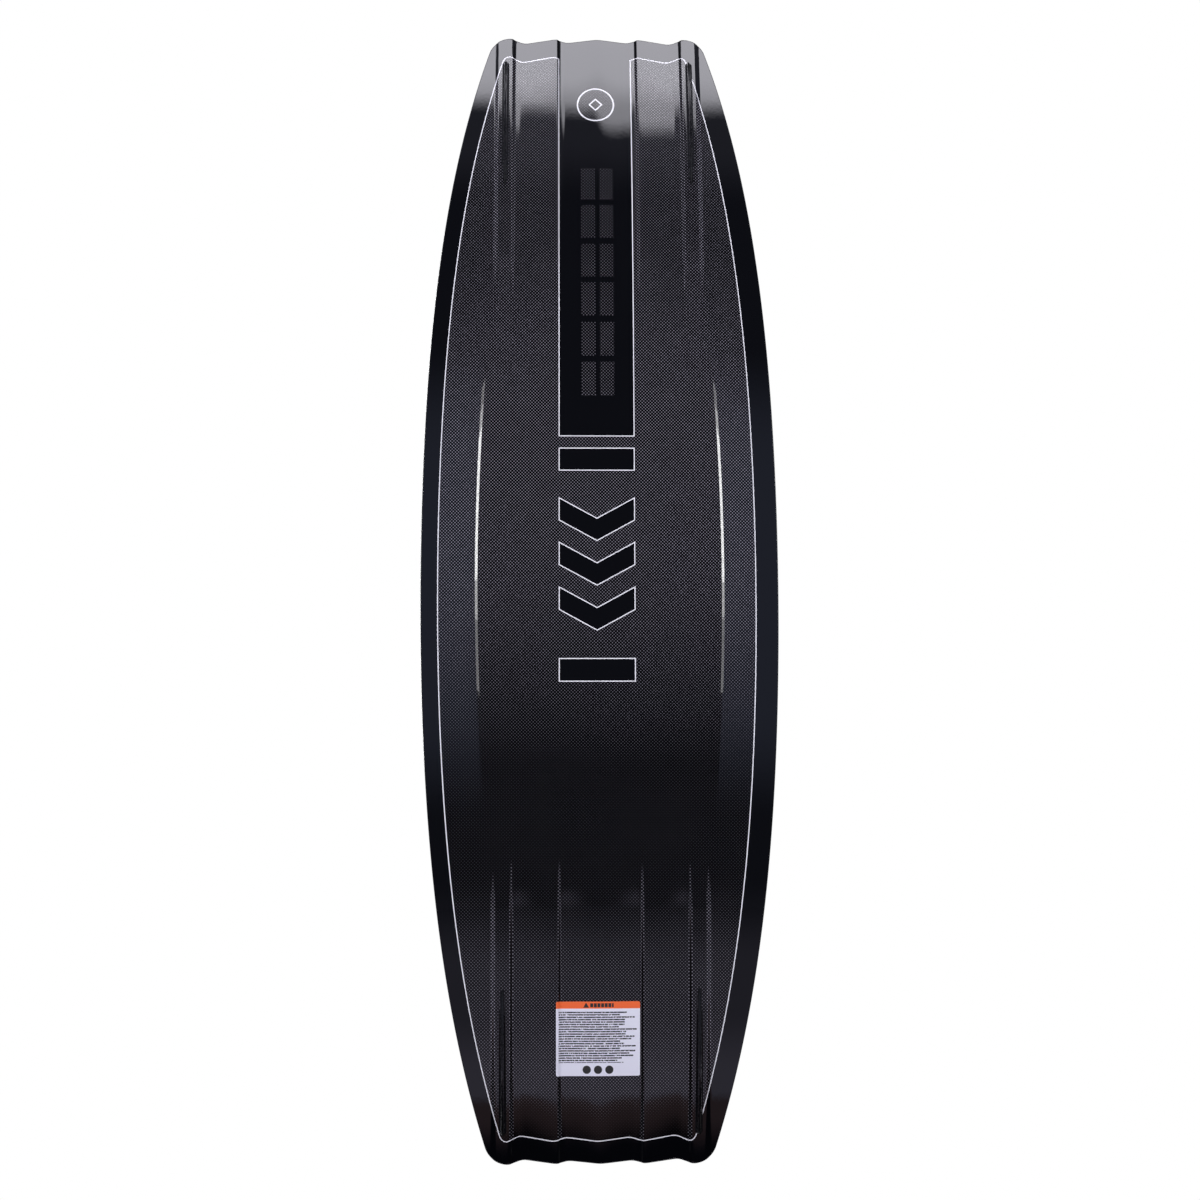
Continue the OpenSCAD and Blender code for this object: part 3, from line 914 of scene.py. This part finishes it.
def edge_piece(name, rings, chosen, material, node_name):
    """The stretch of the edge whose perimeter points are chosen, as a closed solid."""
    count, stretch = len(rings), len(chosen)
    verts = rings[:, chosen].reshape(-1, 3)
    faces = []
    for k in range(count):
        a = np.arange(stretch - 1) + k * stretch
        b = np.arange(stretch - 1) + ((k + 1) % count) * stretch
        faces += np.stack([a, a + 1, b + 1, b], axis=1).tolist()
    faces.append([k * stretch for k in range(count)])
    faces.append([(k + 1) * stretch - 1 for k in reversed(range(count))])
    new_object(name, verts, faces, material, node_name, RAIL_SMOOTH_ANGLE)


def edges(material):
    """The rails and, between them round the corners, the end edges."""
    rings = edge_rings()
    rim = perimeter(ROWS, COLS)
    x, y = (grid.ravel()[rim] for grid in plan(0.0))
    along = np.abs(x) <= CORNER_FROM + 0.01
    # name, its perimeter points, how many points it runs on past them, and its CAD node
    for name, mask, spare, node_name in (
        ("rail_left_side", along & (y > 0), 0, "rail_left"),
        ("rail_right_side", along & (y < 0), 0, "rail_right"),
        ("tip_edge", ~along & (x > 0), 1, "tip_spacer"),
        ("tail_edge", ~along & (x < 0), 1, "tail_spacer"),
    ):
        begin = next(i for i in range(len(rim)) if mask[i] and not mask[i - 1])
        chosen = np.arange(begin - spare, begin + mask.sum() + spare) % len(rim)
        edge_piece(name, rings, chosen, material, node_name)


# ---------- inserts
THREAD_R, THREAD_CREST, THREAD_PITCH, THREAD_FROM, THREAD_TO = 3.0, 2.5, 1.0, 0.8, 8.5
THREAD_STEPS, DRILL_POINT = 6, 0.8
INSERT_R, INSERT_H, FLANGE_T, RECESS = 6.0, 10.5, 1.8, 0.3
LATHE_SIDES = 40
# The turned outline, from the middle of the underside out and up to the thread's mouth
INSERT_PROFILE = [
    (0, -INSERT_H),
    (INSERT_R - 1, -INSERT_H),
    (INSERT_R - 0.5, -INSERT_H + 0.5),
    (INSERT_R - 0.5, -FLANGE_T - 0.5),
    (INSERT_R, -FLANGE_T),
    (FLANGE_R - 0.5, -FLANGE_T),
    (FLANGE_R, -FLANGE_T + 0.4),
    (FLANGE_R, -0.45),
    (FLANGE_R - 0.15, -0.12),
    (FLANGE_R - 0.5, 0),
    (FLANGE_R - 2.6, 0),
    (FLANGE_R - 2.8, -0.12),
    (FLANGE_R - 3.2, -0.12),
    (FLANGE_R - 3.4, 0),
    (THREAD_R + 0.9, 0),
    (THREAD_R + 0.5, -0.08),
    (THREAD_R, -0.6),
]


def insert_shape():
    """One insert with its top at z = 0: a turned flange and body round a helical thread."""
    steps = int((THREAD_TO - THREAD_FROM) / THREAD_PITCH * THREAD_STEPS)
    bore = [(None, -THREAD_FROM - i * THREAD_PITCH / THREAD_STEPS) for i in range(steps)]
    floor = [(THREAD_CREST, -THREAD_TO), (0, -THREAD_TO - DRILL_POINT)]
    angles = np.linspace(0, 2 * math.pi, LATHE_SIDES, endpoint=False)
    rings = []
    for r, z in INSERT_PROFILE + bore + floor:
        if r is None:
            phase = (z / THREAD_PITCH - angles / (2 * math.pi)) % 1
            r = THREAD_CREST + (THREAD_R - THREAD_CREST) * 2 * np.abs(phase - 0.5)
        rings.append(np.stack([r * np.cos(angles), r * np.sin(angles), angles * 0 + z], axis=1))
    rings = np.array(rings)
    verts = rings[1:-1].reshape(-1, 3)
    faces = []
    for k in range(len(rings) - 3):
        lower = np.arange(LATHE_SIDES) + k * LATHE_SIDES
        faces += [tuple(f) for f in loop_quads(lower, lower + LATHE_SIDES)]
    bottom, top = len(verts), len(verts) + 1
    verts = np.concatenate([verts, [[0, 0, -INSERT_H], [0, 0, floor[-1][1]]]])
    last = (len(rings) - 3) * LATHE_SIDES
    for i in range(LATHE_SIDES):
        j = (i + 1) % LATHE_SIDES
        faces.append((bottom, j, i))
        faces.append((last + i, last + j, top))
    return verts, faces


def inserts(name, end, material, node_name):
    """The twelve inserts of one end."""
    shape, shape_faces = insert_shape()
    verts, faces = [], []
    for cx, cy in insert_places(end):
        top = float(rocker_z(cx) + board_t(cx)) - RECESS
        first = len(verts) * len(shape)
        verts.append(shape + [cx, cy, top])
        faces += [tuple(v + first for v in f) for f in shape_faces]
    new_object(name, np.concatenate(verts), faces, material, node_name, 30.0)


# ---------- fins
FIN_Y, FIN_START, FIN_END = 119.5, 506.0, 684.0
FIN_H, FIN_T, FIN_STATIONS = 20.0, 5.0, 90
# The cove at a fin's root: width, thickness, where along the fin it grows to full width, and its
# curve as (distance in from its rim, depth)
ROOT_W, ROOT_T, ROOT_FROM, ROOT_TO = 9.0, 1.2, 23.0, 30.0
ROOT_CURVE = [(0.6, 0.3), (1.0, 0.55), (1.35, 0.86)]
ROOT_FOOT = 0.12
# Lengths of the rounding of a fin's two ends in plan, and its least share of the thickness
NOSE_L, HEEL_L, LEAST_END = 9.0, 4.0, 0.04
# The blade: (share of the half-thickness, share of the depth)
BLADE_CURVE = [(0.86, 0.45), (0.7, 0.74), (0.5, 0.92), (0.25, 0.985), (0, 1)]


def fin_half_section(x):
    """Half-widths and depths of a fin at x, from the base round its cove to its edge."""
    s = (x - FIN_START) / (FIN_END - FIN_START)
    blade = 1 + (FIN_H - 1) * max(0.0, math.sin(math.pi * s**1.5)) ** 0.8
    nose = math.sqrt(max(0.0, (x - FIN_START) / NOSE_L))
    heel = math.sqrt(max(0.0, (FIN_END - x) / HEEL_L))
    ends = max(min(1.0, nose, heel), LEAST_END)
    half = FIN_T / 2 * ends
    grown = float(smooth(x, FIN_START + ROOT_FROM, FIN_START + ROOT_TO))
    rim = max((FIN_T / 2 + (ROOT_W / 2 - FIN_T / 2) * grown) * ends, half)
    foot = ROOT_T + ROOT_FOOT
    return [
        (rim, -0.6),
        (rim, 0.04),
        (rim - 0.14 * ends, 0.1),
        *((max(half, rim - inward * ends), depth) for inward, depth in ROOT_CURVE),
        (half + 0.3 * ends, foot),
        (half + 0.05, foot + blade * 0.03),
        (half * 0.97, foot + blade * 0.12),
        *((half * share, ROOT_T + blade * down) for share, down in BLADE_CURVE),
    ]


def fin(name, end, side, material):
    """A fin below one channel; end is 1 at the tip, side is 1 on the left."""
    steps = (1 - np.cos(np.linspace(0, math.pi, FIN_STATIONS))) / 2
    verts = []
    for x in FIN_START + (FIN_END - FIN_START) * steps:
        half = fin_half_section(float(x))
        z = float(base_z(x, FIN_Y))
        ring = [(w, d) for w, d in half] + [(-w, d) for w, d in reversed(half[:-1])]
        verts += [(end * x, side * FIN_Y + w, z - d) for w, d in ring]
    n = len(ring)
    faces = []
    for i in range(FIN_STATIONS - 1):
        for j in range(n):
            a, b = i * n + j, i * n + (j + 1) % n
            faces.append((a, b, b + n, a + n))
    faces += [tuple(reversed(range(n))), tuple((FIN_STATIONS - 1) * n + j for j in range(n))]
    if end < 0:
        faces = [face[::-1] for face in faces]
    new_object(name + "_blade", verts, faces, material, name, 35.0)


# ---------- the care label
LABEL_T, LABEL_LIFT, LABEL_CORNER = 0.25, 0.05, 1.5
LABEL_ROWS, LABEL_COLS = 91, 69


def care_label(material):
    """A thin sticker that follows the base, with round corners."""
    along = np.linspace(-LABEL_L / 2, LABEL_L / 2, LABEL_ROWS)
    across = np.linspace(-1, 1, LABEL_COLS)
    inset = np.maximum(0, np.abs(along) - (LABEL_L / 2 - LABEL_CORNER))
    half = LABEL_W / 2 - (LABEL_CORNER - np.sqrt(np.maximum(0, LABEL_CORNER**2 - inset**2)))
    x = np.repeat((LABEL_X + along)[:, None], len(across), axis=1)
    y = LABEL_Y + half[:, None] * across[None, :]
    base = base_z(x, y)
    low = (x, y, base - LABEL_LIFT - LABEL_T)
    high = (x, y, base - LABEL_LIFT)
    verts, faces = closed_sheet(low, high)
    new_object("care_sticker", verts, faces, material, "care_label")


# ---------- building the board
base_skin(base_skin_finish())
deck_skin(deck_skin_finish())
edges(plastic("rail_gloss", (0.006, 0.0065, 0.008), 0.3, 1.5, 0.01, 0.4, coat_weight=0.8))
inserts("front_insert_set", 1, steel(), "front_inserts")
inserts("rear_insert_set", -1, steel(), "rear_inserts")
FIN_GLOSS = plastic("fin_gloss", (0.003, 0.0033, 0.0045), 0.28, 2.0, 0.003, 0.2, coat_weight=1.0)
ENDS, SIDES = {"front": 1, "rear": -1}, {"left": 1, "right": -1}
for end_name, end in ENDS.items():
    for side_name, side in SIDES.items():
        fin(f"fin_{end_name}_{side_name}", end, side, FIN_GLOSS)
care_label(label_finish())
plies(cloth("base_cloth", (0.12, 0.12, 0.13)), cloth("deck_cloth", (0.6, 0.62, 0.56)))

# The inside is the CAD's own, with materials only
INSIDE = (
    (foam(), ["core_center", "core_left", "core_right"]),
    (
        plastic("block_foam", (0.42, 0.3, 0.18), 0.8, 0.8, 0.2),
        [f"insert_block_{end_name}_{side_name}" for end_name in ENDS for side_name in SIDES],
    ),
    (
        plastic("stringer_carbon", (0.05, 0.05, 0.055), 0.45, 0.6, 0.05),
        ["stringer_left", "stringer_right"],
    ),
)
for material, node_names in INSIDE:
    for node_name in node_names:
        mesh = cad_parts[node_name].data
        mesh.materials.clear()
        mesh.materials.append(material)


# ---------- studio
FLOOR_HALF, FLOOR_DROP = 6.0, 0.0004
# Distances from the board, in metres, over which the floor fades out
FADE_FROM, FADE_TO = 1.2, 5.0


def floor():
    """A pale floor that fades into the white backdrop, and shows only from above."""
    mesh = bpy.data.meshes.new("studio_floor")
    turns = ((-1, -1), (1, -1), (1, 1), (-1, 1))
    corners = [(FLOOR_HALF * i, FLOOR_HALF * j, 0) for i, j in turns]
    mesh.from_pydata(corners, [], [(0, 1, 2, 3)])
    obj = bpy.data.objects.new("studio_floor", mesh)
    obj.location.z = -FLOOR_DROP
    bpy.context.scene.collection.objects.link(obj)
    finish = Finish("floor_paint")
    distance = (finish.x * finish.x + finish.y * finish.y).do("SQRT") * METRES
    away = distance.ramp(FADE_FROM, FADE_TO)
    shade = (finish.noise(900.0) * 0.03 + 0.37) * (1 - away)
    tone = finish.tint(shade, (1, 1, 1))
    finish.set(Base_Color=tone, Roughness=0.9, Specular_IOR_Level=0.0)
    finish.set(Emission_Color=grey(1.0), Emission_Strength=away * 0.5 + 0.5)
    geometry = finish.tree.nodes.new("ShaderNodeNewGeometry")
    clear = finish.tree.nodes.new("ShaderNodeBsdfTransparent")
    mix = finish.tree.nodes.new("ShaderNodeMixShader")
    output = finish.tree.nodes["Material Output"]
    finish.tree.links.new(geometry.outputs["Backfacing"], mix.inputs[0])
    finish.tree.links.new(finish.bsdf.outputs[0], mix.inputs[1])
    finish.tree.links.new(clear.outputs[0], mix.inputs[2])
    finish.tree.links.new(mix.outputs[0], output.inputs["Surface"])
    mesh.materials.append(finish.material)
    obj.visible_diffuse = obj.visible_glossy = obj.visible_shadow = False
    obj.visible_transmission = False


# Where the faint bands behind the tail begin, in degrees
BAND_START = (-33.9, -32.3)
BAND_COLOR = (0.95, 0.88, 1.15)


def room_below(alpha, beta, y):
    """What the base mirrors, as strengths and colours. alpha is in degrees from straight down
    towards the tip, beta the same towards the left."""
    # the bright wall beyond the tip: its lower edge is higher to the right, and far to the left
    lift = beta.ramp(9.0, -5.0) * 2.4 + beta.ramp(-8.0, -20.0) * 2.2
    lift = lift + beta.ramp(14.0, 22.0) * 4.0 + beta.ramp(25.0, 45.0) * 20.0
    wall = (alpha - lift).ramp(40.8, 44.2) * (alpha.ramp(44.5, 51.5) * 3.0 + 4.7)
    wall = wall * (1 - alpha.ramp(62.0, 80.0)) * (1 - y.abs().ramp(0.4, 0.65))
    # bluish glows low down on both sides
    glow = beta.abs().between(11.0, 15.0, 24.0, 40.0) * alpha.between(-4.0, 4.0, 12.0, 20.0)
    return [
        (wall, (0.97, 0.96, 1.04)),
        (alpha.ramp(33.0, 41.0) * 0.17, (0.95, 0.95, 1.2)),
        (alpha.between(*BAND_START, -17.0, -9.0) * 0.22, BAND_COLOR),
        (alpha.between(*BAND_START, -30.0, -22.0) * 0.25, BAND_COLOR),
        (alpha.between(-40.0, -35.5, -33.9, -32.5) * 0.22, (1.0, 0.58, 0.55)),
        (glow * 0.35, (0.6, 0.68, 1.0)),
        (alpha.ramp(-40.5, -35.5) * 0.07, (0.7, 0.75, 1.0)),
    ]


def studio_world():
    """White to the camera; in reflections, a dark room with a bright wall and a soft ceiling."""
    world = bpy.data.worlds.new("studio_world")
    bpy.context.scene.world = world
    world.use_nodes = True
    tree = world.node_tree
    tree.nodes.clear()
    coords = tree.nodes.new("ShaderNodeTexCoord")
    split = tree.nodes.new("ShaderNodeSeparateXYZ")
    tree.links.new(coords.outputs["Generated"], split.inputs[0])
    x, y, z = (Num(tree, s) for s in split.outputs)
    alpha = x.do("ARCTAN2", z * -1) * TO_DEGREES
    beta = y.do("ARCTAN2", z * -1) * TO_DEGREES
    overhead = (z.ramp(0.35, 0.75) * 1.25 + 0.06) * (z > 0)
    room = scaled_color(tree, overhead, (1.0, 1.0, 1.02))
    for strength, color in room_below(alpha, beta, y):
        part = scaled_color(tree, strength * (z < 0), color)
        room = vector_math(tree, "ADD", room, part)
    path = tree.nodes.new("ShaderNodeLightPath")
    seen = Num(tree, path.outputs["Is Camera Ray"])
    background = tree.nodes.new("ShaderNodeBackground")
    output = tree.nodes.new("ShaderNodeOutputWorld")
    tree.links.new(blend_colors(tree, seen, room, grey(1.0)), background.inputs["Color"])
    tree.links.new(background.outputs[0], output.inputs["Surface"])
    world.cycles.sampling_method = "MANUAL"
    world.cycles.sample_map_resolution = 512


def facing(place, aim, roll=0.0):
    """The turn that points -Z from place to aim, with Y leaning towards the tip."""
    look = (Vector(aim) - Vector(place)).normalized()
    right = look.cross(Vector((1, 0, 0))).normalized()
    up = right.cross(look)
    turned_right = right * math.cos(roll) + up * math.sin(roll)
    return Matrix((turned_right, turned_right.cross(look), -look)).transposed()


def area_light(name, place, aim, size_x, size_y, power, glossy=True, diffuse=True):
    """A rectangular light that the camera doesn't see; sizes in metres, power in watts."""
    data = bpy.data.lights.new(name, "AREA")
    data.shape = "RECTANGLE"
    data.size, data.size_y, data.energy = size_x, size_y, power
    obj = bpy.data.objects.new(name, data)
    bpy.context.scene.collection.objects.link(obj)
    obj.matrix_world = Matrix.Translation(place) @ facing(place, aim).to_4x4()
    obj.visible_camera = False
    obj.visible_glossy, obj.visible_diffuse = glossy, diffuse


# Two tapering strips below the base that its creases pick up: how far below it, how far to the
# side, their common shift to the left, and their width
STRIP_DROP, STRIP_OUT, STRIP_SHIFT, STRIP_W = 3.0, 0.69, 0.07, 0.46
# Each is three lights, one inside the other: (near end, far end, radiance)
STRIP_PARTS = ((0.42, 0.88, 20.0), (0.3, 0.98, 8.0), (0.08, 1.1, 3.0))


def lights():
    # overhead key and fill for the deck and the floor
    area_light("key", (0.6, -1.2, 2.6), (0, 0, 0), 2.4, 1.6, 95.0)
    area_light("fill", (-1.8, 1.6, 1.8), (0, 0, 0), 1.6, 1.6, 35.0, glossy=False)
    # soft light for the printed lines and the label, which the gloss doesn't mirror
    area_light("under_fill", (-0.3, 0, -2.6), (0, 0, 0), 2.0, 2.0, 23.0, glossy=False)
    for side in (-1, 1):
        for number, (near, far, radiance) in enumerate(STRIP_PARTS):
            place = ((near + far) / 2, side * STRIP_OUT + STRIP_SHIFT, -STRIP_DROP)
            length = far - near
            power = radiance * math.pi * STRIP_W * length
            name = f"strip_{side}_{number}"
            area_light(name, place, (place[0], place[1], 0), STRIP_W, length, power, diffuse=False)


# The photo's camera, in metres, from the perspective of the board's outline
CAMERA_PLACE = Vector((-0.328, -0.058, -2.276))
CAMERA_AIM = Vector((-0.0334, 0.0, 0.0))
CAMERA_ROLL = math.radians(-0.2)
CAMERA_LENS, SENSOR_WIDTH = 55.7, 36.0


def camera():
    data = bpy.data.cameras.new("camera")
    data.lens, data.sensor_width = CAMERA_LENS, SENSOR_WIDTH
    obj = bpy.data.objects.new("camera", data)
    bpy.context.scene.collection.objects.link(obj)
    turn = facing(CAMERA_PLACE, CAMERA_AIM, CAMERA_ROLL)
    obj.matrix_world = Matrix.Translation(CAMERA_PLACE) @ turn.to_4x4()
    bpy.context.scene.camera = obj


floor()
studio_world()
lights()
camera()
bpy.context.scene.view_settings.view_transform = "Standard"
